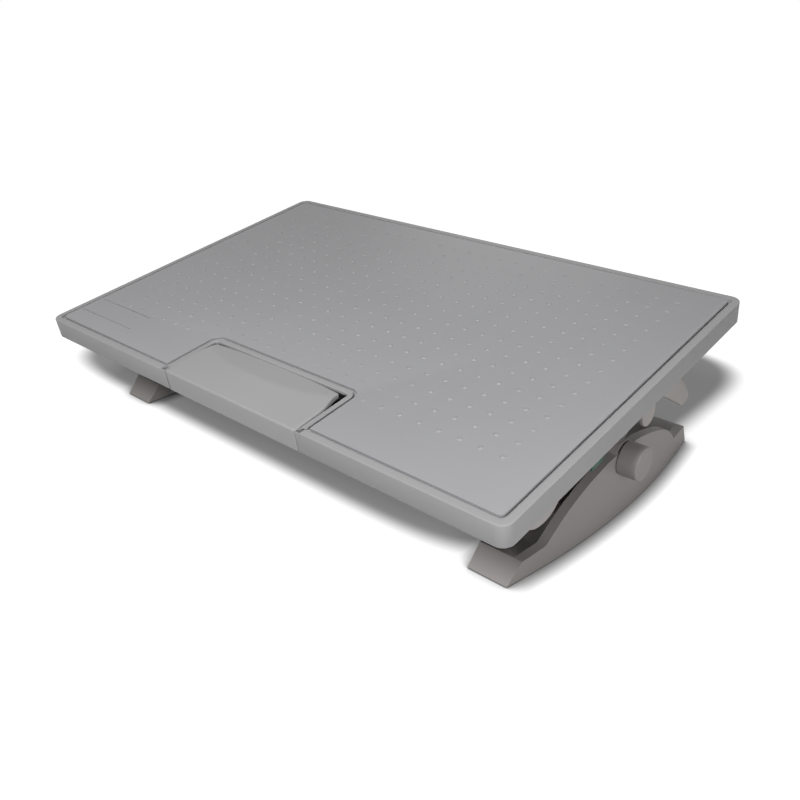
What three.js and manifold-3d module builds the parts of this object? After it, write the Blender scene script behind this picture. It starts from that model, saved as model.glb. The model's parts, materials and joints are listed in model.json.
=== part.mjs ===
// Tilting under desk footrest, in millimetres, +Z up, +Y to the rear, +X to the right.
// Two arched legs carry a cross shaft. A carriage tilts on the shaft, the deck slides up and
// down on the carriage, and a pedal in the deck's front edge frees the brake that holds it.
import * as THREE from "three";
import { mergeVertices } from "three/addons/utils/BufferGeometryUtils.js";
import Module from "manifold-3d";

const wasm = await Module();
wasm.setup();

// Fits that pieces share
const seatGap = 0.3;
const runningGap = 0.3;
const overrun = 5;

// Tilt axis and rest pose
const tiltAxisHeight = 57;
const restTiltDegrees = 9.45;

// Deck
const deckWidth = 560;
const deckDepth = 357;
const deckFrontReach = 185;
const deckTopHeight = 70.4;
const deckCornerRadius = 10;
const deckEdgeRadius = 3;
const deckFloor = 2.5;
const skirtHeight = 20;
const skirtWall = 3;
const ribHeight = 8;
const crossRibHeight = 7;
const ribWidth = 2;
const ribShares = [-0.61, -0.36, 0, 0.36, 0.61];
const crossRibShares = [0.28, 0.5, 0.84];
const bossHeight = 6;
const bossRadius = 4.5;

// Top panel
const rimWidth = 7.5;
const grooveWidth = 1;
const panelThickness = 2.7;
const panelCornerRadius = 5;
const dotPitchX = 19.2;
const dotPitchY = 18.8;
const dotOffsetX = 5.4;
const dotFirstRow = 71;
const dotRadius = 2.4;
const dotHeight = 0.9;
const dotSides = 5;
const dotBorder = 25;
const labelLineLength = 85;
const labelLineWidth = 1;
const labelLineDepth = 0.5;
const labelInset = 9;
const labelFrontLine = 21.5;
const labelLineSpacing = 24.3;

// Pedal and its hinge
const pedalOpeningWidth = 169.4;
const pedalOpeningDepth = 60;
const pedalOpeningRadius = 3;
const pedalRimWidth = 6.3;
const pedalGap = 0.8;
const pedalWall = 3;
const pedalRearBow = 4;
const pedalCornerRun = 20;
const pedalCornerSetIn = 8;
const pedalDish = 2.6;
const pedalEndDrop = 2.2;
const hingeSetback = 7;
const hingeDrop = 10.5;
const hingeRodRadius = 2.5;
const hingeLugRadius = 5;
const crankSetIn = 32.7;
const crankThickness = 6;
const crankWidth = 10;
const crankLength = 30;
const crankPinRadius = 2.5;
const crankPinLength = 8.5;
const springSetIn = 19.7;
const springRadius = 4.6;
const springWireRadius = 0.7;
const springTurns = 4.25;
const springLegLength = 16;
const springLegRise = 0.7;
const springTailLength = 8;
const springCoilGap = 0.5;

// Brake linkage
const brakeBarRadius = 2.5;
const brakeBarSetback = 23.7;
const pushRodThickness = 5;
const pushRodHeight = 6;
const pushRodEyeRadius = 6;
const pushRodSlot = 1;
const shoeLength = 13.5;
const shoeDepth = 8;
const shoeTop = 5;
const shoeBottom = 24;
const shoeCornerRadius = 1;
const shoeToSlider = 2;
const barToSlider = 1;

// Guide brackets under the deck
const bracketHalfLength = 56;
const bracketWidth = 36;
const bracketFlange = 3;
const bracketCornerRadius = 4;
const postWidth = 20;
const postDepth = 11.7;
const postCornerRadius = 1.5;
const postEngagement = 20;
const grooveDepth = 6;
const screwRadius = 1.6;
const screwHeadRadius = 3.4;
const screwHeadHeight = 2;
const screwInset = 5;

// Side rails and height marks
const railThickness = 3;
const railClearance = 2.4;
const railFlangeWidth = 16;
const railFront = 165;
const railRear = 120;
const frontLobeCentre = 124;
const frontLobeHalfWidth = 30;
const frontLobeDepth = 25;
const frontLobeShares = [1 / 4, 2 / 3];
const lugFront = 16.5;
const lugRear = 39;
const lugDepth = 33;
const rearLobeStart = 49;
const rearLobeReach = 100;
const rearLobeDepth = 50;
const rearLobeWidth = 20;
const rearLobeTipShare = 1 / 5;
const rearLobeTipRiseShare = 5 / 6;
const railSteps = 6;
const markLength = 12;
const markHeight = 18;
const markThickness = 1.5;
const markSetback = 62;

// Carriage
const sliderToLeg = 12;
const sliderPlateThickness = 8;
const sliderHalfLength = 40;
const sliderTop = 20;
const sliderBottom = 31;
const sliderCornerRadius = 4;
const hubRadius = 14;
const hubReach = 6;
const washerRoom = 2;
const sliderWindowWidth = 13;
const sliderWindowHeight = 30;
const sliderWindowRadius = 3;
const brakeRibWidth = 6;
const brakeRibLength = 16;
const beamDepth = 12;
const beamHeight = 20;
const beamWall = 1.5;
const beamSetback = 28;
const beamTop = 8;
const spigotLength = 12;

// Shaft, bushes and friction washers
const shaftRadius = 8;
const shaftIntoLeg = 6;
const shaftBore = 3.6;
const bushWall = 1.7;
const bushFlange = 1.5;
const bushFlangeRadius = 12.5;

// Legs and soles
const legFrontReach = 140;
const legRearReach = 162;
const legSetIn = 32;
const legWidth = 36;
const legBow = 15;
const legSkin = 3;
const archRadius = 143;
const archTopHeight = 66;
const archCentre = 7;
const archBaseHeight = 19.5;
const archBandWidth = 8;
const toeHeight = 17;
const toeRun = 16;
const toeTopLength = 24;
const footRampRun = 22;
const basePlateHeight = 8;
const soleThickness = 2.5;
const soleInset = 0.8;
const soleKeyHeight = 2;
const legHubRadius = 15;
const legRibWidth = 2.2;
const legRibSetback = 1;
const legRibTurns = [0.56, 1.18, 1.94, 2.58];

// Knobs and studs
const knobRadius = 14.6;
const knobLength = 17.7;
const knobEdge = 1.2;
const knobWall = 2.6;
const knobHollow = 11;
const knobBossRadius = 6;
const studRadius = 3.2;
const studHoleGap = 1;
const studInShaft = 14;
const studInKnob = 12;

// Facet counts
const fineSides = 24;
const midSides = 18;
const smallSides = 8;
const planSteps = 5;
const edgeSteps = 3;
const cornerSteps = 2;
const wireSides = 5;
const wireStepsPerTurn = 7;
const bowSteps = 12;
const archSteps = 18;
const pedalStepsAcross = 12;
const pedalStepsBack = 6;
const weldDistance = 1e-4;

// Places that follow from the sizes
const legOuterX = deckWidth / 2 - legSetIn;
const legInnerX = legOuterX - legWidth;
const sliderPlateX = legInnerX - sliderToLeg - sliderPlateThickness;
const sliderMiddleX = sliderPlateX + sliderPlateThickness / 2;
const hubInnerX = sliderPlateX - hubReach;
const hubOuterX = legInnerX - washerRoom;
const bracketInnerX = sliderMiddleX - bracketWidth / 2;
const bracketOuterX = sliderMiddleX + bracketWidth / 2;
const shaftHalfLength = legOuterX + shaftIntoLeg;
const crankX = pedalOpeningWidth / 2 - crankSetIn;
const springX = pedalOpeningWidth / 2 - springSetIn;
const deckRear = deckDepth - deckFrontReach;
const recessDepth = panelThickness + seatGap;
const floorTop = deckTopHeight - recessDepth;
const floorUnderside = floorTop - deckFloor;
const skirtBottom = deckTopHeight - skirtHeight;
const openingHalf = pedalOpeningWidth / 2;
const openingRear = pedalOpeningDepth - deckFrontReach;
const recessNotchHalf = openingHalf + pedalRimWidth;
const recessNotchRear = openingRear + pedalRimWidth;
const hingeY = openingRear - hingeSetback;
const pedalCornerFront = openingRear - pedalGap - pedalCornerRun;
const hingeZ = deckTopHeight - hingeDrop;
const crankPinZ = hingeZ - crankLength;
const flangeTop = floorUnderside - bossHeight - seatGap;
const flangeUnderside = flangeTop - bracketFlange;
const postBottom = sliderTop - postEngagement;
const bushRadius = shaftRadius + runningGap + bushWall;
const bowMiddle = (legRearReach - legFrontReach) / 2;
const bowHalf = (legRearReach + legFrontReach) / 2;
const legFaceX = legOuterX + legBow * (1 - (bowMiddle / bowHalf) ** 2);
const railX = legOuterX + legBow + railClearance;
const knobX = legFaceX + seatGap;

// Colours
const deckGrey = 0x9b9c9d;
const panelGrey = 0x999a9c;
const legGrey = 0x8a8583;
const material = (color, roughness, metalness = 0) =>
  new THREE.MeshStandardMaterial({ color, roughness, metalness });
const deckPlastic = () => material(deckGrey, 0.6);
const panelPlastic = () => material(panelGrey, 0.7);
const legPlastic = () => material(legGrey, 0.6);
const acetal = () => material(0xd8d6d0, 0.5);
const steel = () => material(0xa8aaad, 0.35, 1);
const rubber = () => material(0x232323, 0.9);
const markGreen = () => material(0x1f8a4c, 0.45);

// A closed three.js geometry as a manifold solid, and back
function solid(geometry) {
  const bare = geometry.index ? geometry.toNonIndexed() : geometry.clone();
  bare.deleteAttribute("normal");
  bare.deleteAttribute("uv");
  const merged = mergeVertices(bare, weldDistance);
  return new wasm.Manifold(
    new wasm.Mesh({
      numProp: 3,
      vertProperties: merged.attributes.position.array,
      triVerts: new Uint32Array(merged.index.array),
    }),
  );
}

function geometryOf(manifold) {
  const mesh = manifold.getMesh();
  const geometry = new THREE.BufferGeometry();
  const positions = new Float32Array(mesh.vertProperties);
  geometry.setAttribute("position", new THREE.BufferAttribute(positions, mesh.numProp));
  geometry.setIndex(new THREE.BufferAttribute(new Uint32Array(mesh.triVerts), 1));
  const flat = geometry.toNonIndexed();
  flat.computeVertexNormals();
  return flat;
}

function addPiece(group, name, shape, look) {
  const mesh = new THREE.Mesh(shape.isBufferGeometry ? shape : geometryOf(shape), look);
  mesh.name = name;
  group.add(mesh);
}

const join = (first, ...rest) => rest.reduce((sum, next) => sum.add(next), first);
const cut = (first, ...rest) => rest.reduce((left, next) => left.subtract(next), first);
const mirrored = (manifold) => manifold.mirror([1, 0, 0]);

// Plain solids: a box between two corners, a prism along Z or X, a cylinder along X
function box([x0, y0, z0], [x1, y1, z1]) {
  const geometry = new THREE.BoxGeometry(x1 - x0, y1 - y0, z1 - z0);
  geometry.translate((x0 + x1) / 2, (y0 + y1) / 2, (z0 + z1) / 2);
  return solid(geometry);
}

function prismZ(shape, z0, z1, curveSegments = planSteps) {
  const options = { depth: z1 - z0, bevelEnabled: false, curveSegments };
  const geometry = new THREE.ExtrudeGeometry(shape, options);
  geometry.translate(0, 0, z0);
  return solid(geometry);
}

// A shape drawn in Y and Z, run along X
function prismX(shape, x0, x1, curveSegments = planSteps) {
  const options = { depth: x1 - x0, bevelEnabled: false, curveSegments };
  const geometry = new THREE.ExtrudeGeometry(shape, options);
  const toYZX = new THREE.Matrix4().makeBasis(
    new THREE.Vector3(0, 1, 0),
    new THREE.Vector3(0, 0, 1),
    new THREE.Vector3(1, 0, 0),
  );
  geometry.applyMatrix4(toYZX);
  geometry.translate(x0, 0, 0);
  return solid(geometry);
}

function rodX(radius, x0, x1, y = 0, z = 0, sides = midSides) {
  const geometry = new THREE.CylinderGeometry(radius, radius, x1 - x0, sides);
  geometry.rotateZ(-Math.PI / 2);
  geometry.translate((x0 + x1) / 2, y, z);
  return solid(geometry);
}

function rodZ(radius, z0, z1, x, y, sides = smallSides) {
  const geometry = new THREE.CylinderGeometry(radius, radius, z1 - z0, sides);
  geometry.rotateX(Math.PI / 2);
  geometry.translate(x, y, (z0 + z1) / 2);
  return solid(geometry);
}

// A ring or turned piece about the X axis, from a closed profile of [radius, x] points that
// runs up the bore and back down the outside
function turnedX(profile, sides = fineSides) {
  const points = profile.map(([radius, x]) => new THREE.Vector2(radius, x)).reverse();
  const geometry = new THREE.LatheGeometry(points, sides);
  geometry.rotateZ(-Math.PI / 2);
  return solid(geometry);
}

function rect(x0, y0, x1, y1) {
  const shape = new THREE.Shape();
  shape.moveTo(x0, y0);
  shape.lineTo(x1, y0);
  shape.lineTo(x1, y1);
  shape.lineTo(x0, y1);
  return shape;
}

function roundedRect(x0, y0, x1, y1, radius) {
  const shape = new THREE.Shape();
  shape.moveTo(x0 + radius, y0);
  shape.lineTo(x1 - radius, y0);
  shape.absarc(x1 - radius, y0 + radius, radius, -Math.PI / 2, 0, false);
  shape.lineTo(x1, y1 - radius);
  shape.absarc(x1 - radius, y1 - radius, radius, 0, Math.PI / 2, false);
  shape.lineTo(x0 + radius, y1);
  shape.absarc(x0 + radius, y1 - radius, radius, Math.PI / 2, Math.PI, false);
  shape.lineTo(x0, y0 + radius);
  shape.absarc(x0 + radius, y0 + radius, radius, Math.PI, 1.5 * Math.PI, false);
  return shape;
}

// The deck's plan, drawn in by an inset
function deckPlan(inset, radius) {
  return roundedRect(
    inset - deckWidth / 2,
    inset - deckFrontReach,
    deckWidth / 2 - inset,
    deckRear - inset,
    radius,
  );
}

// A block as wide and deep as the pedal's notch, past the deck's front
function notchBlock(half, rear, radius, z0, z1) {
  const front = -deckFrontReach - overrun - radius;
  return prismZ(roundedRect(-half, front, half, rear, radius), z0, z1);
}

// Deck frame: rim, skirt, floor with ribs and bosses, and walls round the pedal's notch
function deckShell() {
  const options = {
    depth: skirtHeight,
    bevelEnabled: true,
    bevelThickness: deckEdgeRadius,
    bevelSize: deckEdgeRadius,
    bevelOffset: -deckEdgeRadius,
    bevelSegments: edgeSteps,
    curveSegments: planSteps,
  };
  const plan = deckPlan(0, deckCornerRadius);
  const slab = new THREE.ExtrudeGeometry(plan, options);
  slab.translate(0, 0, deckTopHeight - deckEdgeRadius - skirtHeight);
  const far = deckWidth;
  const below = box([-far, -far, skirtBottom - skirtHeight], [far, far, skirtBottom]);
  return cut(solid(slab), below);
}

function deckRibs() {
  const half = ribWidth / 2;
  const reachX = railX - railFlangeWidth - overrun;
  const y0 = skirtWall / 2 - deckFrontReach;
  const y1 = deckRear - skirtWall / 2;
  const along = ribShares.map((share) => {
    const x = (share * deckWidth) / 2;
    const low = [x - half, y0, floorUnderside - ribHeight];
    return box(low, [x + half, y1, floorUnderside + deckFloor / 2]);
  });
  const across = crossRibShares.map((share) => {
    const y = share * deckDepth - deckFrontReach;
    const low = [-reachX, y - half, floorUnderside - crossRibHeight];
    return box(low, [reachX, y + half, floorUnderside + deckFloor / 4]);
  });
  const spare = ribWidth + seatGap;
  const y = bracketHalfLength + spare;
  const z0 = floorUnderside - ribHeight - overrun;
  const room = box(
    [bracketInnerX - spare, -y, z0],
    [bracketOuterX + spare, y, floorUnderside],
  );
  return cut(join(...along, ...across), room, mirrored(room));
}

function bracketScrewPlaces(side) {
  const y = bracketHalfLength - screwInset;
  return [bracketInnerX + screwInset, bracketOuterX - screwInset].flatMap((x) => [
    [side * x, -y],
    [side * x, y],
  ]);
}

function deckFrame() {
  const recess = prismZ(
    deckPlan(rimWidth, panelCornerRadius + grooveWidth),
    floorTop,
    deckTopHeight + overrun,
  );
  const recessNotch = notchBlock(
    recessNotchHalf,
    recessNotchRear,
    pedalOpeningRadius + pedalRimWidth,
    floorTop - overrun,
    deckTopHeight + 2 * overrun,
  );
  const hollow = prismZ(
    deckPlan(skirtWall, deckCornerRadius - skirtWall),
    skirtBottom - overrun,
    floorUnderside,
  );
  const notchWalls = notchBlock(
    openingHalf + skirtWall,
    openingRear + skirtWall,
    pedalOpeningRadius + skirtWall,
    skirtBottom - 2 * overrun,
    deckTopHeight,
  );
  const opening = notchBlock(
    openingHalf,
    openingRear,
    pedalOpeningRadius,
    skirtBottom - 2 * overrun,
    deckTopHeight + overrun,
  );
  const reach = openingHalf + 2 * skirtWall;
  const hingeHole = rodX(hingeRodRadius + runningGap, -reach, reach, hingeY, hingeZ, smallSides);
  const bosses = [-1, 1].flatMap((side) =>
    bracketScrewPlaces(side).map(([x, y]) => {
      const z1 = floorUnderside + deckFloor / 2;
      return rodZ(bossRadius, floorUnderside - bossHeight, z1, x, y);
    }),
  );
  const bossHoles = [-1, 1].flatMap((side) =>
    bracketScrewPlaces(side).map(([x, y]) => {
      const z0 = floorUnderside - bossHeight - overrun;
      return rodZ(screwRadius + runningGap, z0, floorUnderside, x, y);
    }),
  );
  const shell = cut(deckShell(), cut(recess, recessNotch), cut(hollow, notchWalls));
  return cut(join(shell, deckRibs(), ...bosses), opening, hingeHole, ...bossHoles);
}

// Top panel: flush plate with a field of raised dots and two engraved lines
function panelBase() {
  const z0 = floorTop + seatGap;
  const plate = prismZ(deckPlan(rimWidth + grooveWidth, panelCornerRadius), z0, deckTopHeight);
  const notch = notchBlock(
    recessNotchHalf + grooveWidth,
    recessNotchRear + grooveWidth,
    pedalOpeningRadius + pedalRimWidth + grooveWidth,
    z0 - overrun,
    deckTopHeight + overrun,
  );
  const x0 = rimWidth + grooveWidth + labelInset - deckWidth / 2;
  const lines = [labelFrontLine, labelFrontLine + labelLineSpacing].map((place) => {
    const y = place + rimWidth - deckFrontReach;
    const low = [x0, y - labelLineWidth / 2, deckTopHeight - labelLineDepth];
    const high = [x0 + labelLineLength, y + labelLineWidth / 2, deckTopHeight + overrun];
    return box(low, high);
  });
  return cut(plate, notch, ...lines);
}

function dotPlaces() {
  const places = [];
  const sideLimit = deckWidth / 2 - rimWidth - dotBorder;
  const rearLimit = deckRear - rimWidth - dotBorder;
  const columns = Math.ceil(sideLimit / dotPitchX);
  const firstY = dotFirstRow + rimWidth - dotPitchY - deckFrontReach;
  for (let column = -columns; column <= columns; column += 1) {
    const x = dotOffsetX + column * dotPitchX;
    for (let y = firstY; y < rearLimit; y += dotPitchY) {
      const besideNotch = Math.abs(x) > recessNotchHalf + dotPitchX / 2;
      const clearOfNotch = y > recessNotchRear + dotPitchY / 4 || besideNotch;
      if (Math.abs(x) < sideLimit && clearOfNotch) places.push([x, y]);
    }
  }
  return places;
}

function topPanel() {
  const sunk = dotHeight / 2;
  const whole = dotHeight + sunk;
  const dots = dotPlaces().map(([x, y]) => {
    const geometry = new THREE.ConeGeometry(dotRadius * (whole / dotHeight), whole, dotSides);
    geometry.rotateX(Math.PI / 2);
    geometry.translate(x, y, deckTopHeight - sunk + whole / 2);
    return solid(geometry);
  });
  return join(panelBase(), wasm.Manifold.union(dots));
}

// Pedal: one moulding with a dished top, a bowed rear edge, a front face and side cheeks
function pedalHeight(x, y) {
  const across = Math.min(Math.abs(x) / (openingHalf - pedalGap), 1) ** 4;
  const back = Math.min((y + deckFrontReach) / (pedalOpeningDepth - pedalGap), 1);
  const dish = pedalDish * back * Math.sin(Math.PI * back) ** 2;
  return deckTopHeight - dish * (1 - across) - pedalEndDrop * back ** 2 * across;
}

// A block under the pedal's surface, its upper vertices lowered on to it
function pedalBlock(half, y0, y1, lowered, bottom, rearBow) {
  const geometry = new THREE.BoxGeometry(
    2 * half,
    y1 - y0,
    deckTopHeight - bottom,
    pedalStepsAcross,
    pedalStepsBack,
    1,
  );
  geometry.translate(0, (y0 + y1) / 2, (deckTopHeight + bottom) / 2);
  const place = geometry.attributes.position;
  const middle = (deckTopHeight + bottom) / 2;
  for (let i = 0; i < place.count; i += 1) {
    const x = place.getX(i);
    const y = place.getY(i);
    if (place.getZ(i) > middle) place.setZ(i, pedalHeight(x, y) - lowered);
    const back = (y - y0) / (y1 - y0);
    place.setY(i, y - rearBow * back ** 3 * (x / half) ** 4);
    const cornerShare = Math.max((y - pedalCornerFront) / pedalCornerRun, 0);
    place.setX(i, x - (x / half) * pedalCornerSetIn * Math.min(cornerShare, 1));
  }
  return solid(geometry);
}

function pedalCrank(side) {
  const half = crankWidth / 2;
  const top = deckTopHeight - pedalWall / 2;
  const shape = new THREE.Shape();
  shape.moveTo(hingeY - half, top);
  shape.lineTo(hingeY - half, crankPinZ);
  shape.absarc(hingeY, crankPinZ, half, Math.PI, 2 * Math.PI, false);
  shape.lineTo(hingeY + half / 2, hingeZ);
  shape.lineTo(hingeY + half / 2, top);
  const inner = side * crankX - crankThickness / 2;
  const arm = prismX(shape, inner, inner + crankThickness);
  const face = side * crankX;
  const end = face + side * (crankThickness / 2 + crankPinLength);
  const pin = rodX(
    crankPinRadius,
    Math.min(face, end),
    Math.max(face, end),
    hingeY,
    crankPinZ,
    smallSides,
  );
  return join(arm, pin);
}

function pedal() {
  const half = openingHalf - pedalGap;
  const front = -deckFrontReach;
  const rear = front + pedalOpeningDepth - pedalGap;
  const block = pedalBlock(half, front, rear, 0, skirtBottom, pedalRearBow);
  const hollow = pedalBlock(
    half - pedalWall,
    front + pedalWall,
    rear + overrun,
    pedalWall,
    skirtBottom - overrun,
    0,
  );
  const side = new THREE.Shape();
  side.moveTo(front - overrun, skirtBottom - overrun);
  side.lineTo(front + pedalWall, skirtBottom - overrun);
  side.lineTo(front + pedalWall, skirtBottom);
  side.lineTo(hingeY, hingeZ - hingeLugRadius);
  side.absarc(hingeY, hingeZ, hingeLugRadius, -Math.PI / 2, 0, false);
  side.lineTo(hingeY + hingeLugRadius, deckTopHeight - 2 * pedalWall);
  side.lineTo(rear + overrun, deckTopHeight - 2 * pedalWall);
  side.lineTo(rear + overrun, deckTopHeight + overrun);
  side.lineTo(front - overrun, deckTopHeight + overrun);
  const shell = cut(block, hollow).intersect(prismX(side, -half - overrun, half + overrun));
  const hole = rodX(
    hingeRodRadius + runningGap,
    -half - overrun,
    half + overrun,
    hingeY,
    hingeZ,
    smallSides,
  );
  return cut(join(shell, pedalCrank(-1), pedalCrank(1)), hole);
}

// Torsion spring round the hinge rod: one leg hangs down along the notch's rear wall, and the
// other runs forward under the pedal's top
class SpringPath extends THREE.Curve {
  getPoint(t, target = new THREE.Vector3()) {
    const coilLength = 2 * Math.PI * springRadius * springTurns;
    const along = t * (springTailLength + coilLength + springLegLength) - springTailLength;
    const inCoil = Math.min(Math.max(along, 0), coilLength);
    const turned = inCoil / springRadius;
    const pitch = 2 * springWireRadius + springCoilGap;
    const x = pitch * (turned / (2 * Math.PI) - springTurns / 2);
    const tail = Math.min(along, 0);
    const leg = Math.max(along - coilLength, 0);
    const y = springRadius * Math.cos(turned) - leg;
    const z = springRadius * Math.sin(turned) + tail + springLegRise * (leg / springLegLength);
    return target.set(x, y, z);
  }
}

function torsionSpring() {
  const section = new THREE.Shape();
  for (let i = 0; i < wireSides; i += 1) {
    const angle = (2 * Math.PI * i) / wireSides;
    const x = springWireRadius * Math.cos(angle);
    const y = springWireRadius * Math.sin(angle);
    if (i === 0) section.moveTo(x, y);
    else section.lineTo(x, y);
  }
  const steps = Math.round(wireStepsPerTurn * (springTurns + 1));
  const geometry = new THREE.ExtrudeGeometry(section, {
    steps,
    extrudePath: new SpringPath(),
    bevelEnabled: false,
  });
  return geometry;
}

// Brake linkage: bar across the deck, two push rods from the cranks, a shoe at each end
const brakeBarZ = crankPinZ;
const shoeFaceY = -brakeBarSetback - shoeDepth / 2;
const rodX0 = crankX + crankThickness / 2 + (crankPinLength - pushRodThickness) / 2;

function pushRod() {
  const length = -brakeBarSetback - hingeY;
  const half = pushRodHeight / 2;
  const strap = rect(hingeY, brakeBarZ - half, -brakeBarSetback, brakeBarZ + half);
  const x1 = rodX0 + pushRodThickness;
  const eyes = [hingeY, hingeY + length].map((y) => rodX(pushRodEyeRadius, rodX0, x1, y, brakeBarZ));
  const barHole = rodX(
    brakeBarRadius + runningGap,
    rodX0 - overrun,
    x1 + overrun,
    -brakeBarSetback,
    brakeBarZ,
    smallSides,
  );
  const slotRadius = crankPinRadius + runningGap + pushRodSlot / 4;
  const slots = [-1, 1].map((up) => {
    const z = brakeBarZ + (up * pushRodSlot) / 2;
    return rodX(slotRadius, rodX0 - overrun, x1 + overrun, hingeY, z, smallSides);
  });
  return cut(join(prismX(strap, rodX0, x1), ...eyes), barHole, ...slots);
}

function brakeShoe() {
  const x1 = sliderPlateX - shoeToSlider;
  const x0 = x1 - shoeLength;
  const block = prismX(
    roundedRect(
      shoeFaceY,
      brakeBarZ - shoeBottom,
      shoeFaceY + shoeDepth,
      brakeBarZ + shoeTop,
      shoeCornerRadius,
    ),
    x0,
    x1,
    cornerSteps,
  );
  const hole = rodX(
    brakeBarRadius + runningGap,
    x0 - overrun,
    x1 + overrun,
    -brakeBarSetback,
    brakeBarZ,
    smallSides,
  );
  return cut(block, hole);
}

// Guide bracket: flange screwed under the deck, two grooved posts that hold the slider's edges
function guideBracket() {
  const flange = prismZ(
    roundedRect(
      bracketInnerX,
      -bracketHalfLength,
      bracketOuterX,
      bracketHalfLength,
      bracketCornerRadius,
    ),
    flangeUnderside,
    flangeTop,
    cornerSteps,
  );
  const inner = sliderHalfLength - grooveDepth + runningGap;
  const grooveHalf = sliderPlateThickness / 2 + runningGap;
  const posts = [-1, 1].map((side) => {
    const y0 = Math.min(side * inner, side * (inner + postDepth));
    const post = prismZ(
      roundedRect(
        sliderMiddleX - postWidth / 2,
        y0,
        sliderMiddleX + postWidth / 2,
        y0 + postDepth,
        postCornerRadius,
      ),
      postBottom,
      flangeTop - bracketFlange / 2,
      cornerSteps,
    );
    const groove0 = Math.min(side * (inner - overrun), side * (sliderHalfLength + runningGap));
    const groove1 = Math.max(side * (inner - overrun), side * (sliderHalfLength + runningGap));
    const groove = box(
      [sliderMiddleX - grooveHalf, groove0, postBottom - overrun],
      [sliderMiddleX + grooveHalf, groove1, flangeUnderside],
    );
    return cut(post, groove);
  });
  const holes = bracketScrewPlaces(1).map(([x, y]) =>
    rodZ(screwRadius + runningGap, flangeUnderside - overrun, flangeTop + overrun, x, y),
  );
  return cut(join(flange, ...posts), ...holes);
}

function bracketScrew([x, y]) {
  const headTop = flangeUnderside - seatGap;
  const tip = floorUnderside - seatGap;
  const shank = rodZ(screwRadius, headTop - screwHeadHeight / 2, tip, x, y);
  const head = rodZ(screwHeadRadius, headTop - screwHeadHeight, headTop, x, y);
  return join(shank, head);
}

// Side rail: flange under the deck and a web whose lower edge has a front lobe, a lug behind
// the knob and a long rear lobe
function sideRail() {
  const top = floorUnderside - seatGap;
  const web = new THREE.Shape();
  web.moveTo(-railFront, top);
  web.lineTo(-railFront, skirtBottom);
  const lobe0 = -frontLobeCentre - frontLobeHalfWidth;
  const lobe1 = -frontLobeCentre + frontLobeHalfWidth;
  web.lineTo(lobe0, skirtBottom);
  web.quadraticCurveTo(
    lobe0 + frontLobeHalfWidth * frontLobeShares[0],
    skirtBottom - frontLobeDepth,
    -frontLobeCentre,
    skirtBottom - frontLobeDepth,
  );
  web.quadraticCurveTo(
    -frontLobeCentre + frontLobeHalfWidth * frontLobeShares[1],
    skirtBottom - frontLobeDepth,
    lobe1,
    skirtBottom,
  );
  web.lineTo(lugFront, skirtBottom);
  web.lineTo(lugFront, skirtBottom - lugDepth / 2);
  web.quadraticCurveTo(
    lugFront,
    skirtBottom - lugDepth,
    (lugFront + lugRear) / 2,
    skirtBottom - lugDepth,
  );
  web.quadraticCurveTo(lugRear, skirtBottom - lugDepth, lugRear, skirtBottom - lugDepth / 2);
  web.lineTo(rearLobeStart, skirtBottom - lugDepth / 2);
  web.quadraticCurveTo(
    rearLobeReach - 2 * rearLobeWidth,
    skirtBottom - rearLobeDepth / 2,
    rearLobeReach - rearLobeWidth / 2,
    skirtBottom - rearLobeDepth,
  );
  web.quadraticCurveTo(
    rearLobeReach + rearLobeWidth * rearLobeTipShare,
    skirtBottom - rearLobeDepth,
    rearLobeReach,
    skirtBottom - rearLobeDepth * rearLobeTipRiseShare,
  );
  web.quadraticCurveTo(
    rearLobeReach - rearLobeWidth / 4,
    skirtBottom - rearLobeDepth / 2,
    rearLobeReach - 2 * rearLobeWidth,
    skirtBottom,
  );
  web.lineTo(railRear, skirtBottom);
  web.lineTo(railRear, top);
  const upright = prismX(web, railX, railX + railThickness, railSteps);
  const flange = box(
    [railX + railThickness - railFlangeWidth, -railFront, top - railThickness],
    [railX + railThickness / 2, railRear, top],
  );
  return join(upright, flange);
}

function heightMark() {
  const x0 = railX + railThickness + seatGap;
  const top = skirtBottom + markHeight / 2;
  const plate = box(
    [x0, -markSetback - markLength / 2, top - markHeight],
    [x0 + markThickness, -markSetback + markLength / 2, top],
  );
  const tab = box(
    [x0, -markSetback - markLength / 2, top - markThickness],
    [x0 + 2 * markThickness, -markSetback + markLength / 2, top],
  );
  return join(plate, tab);
}

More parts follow.
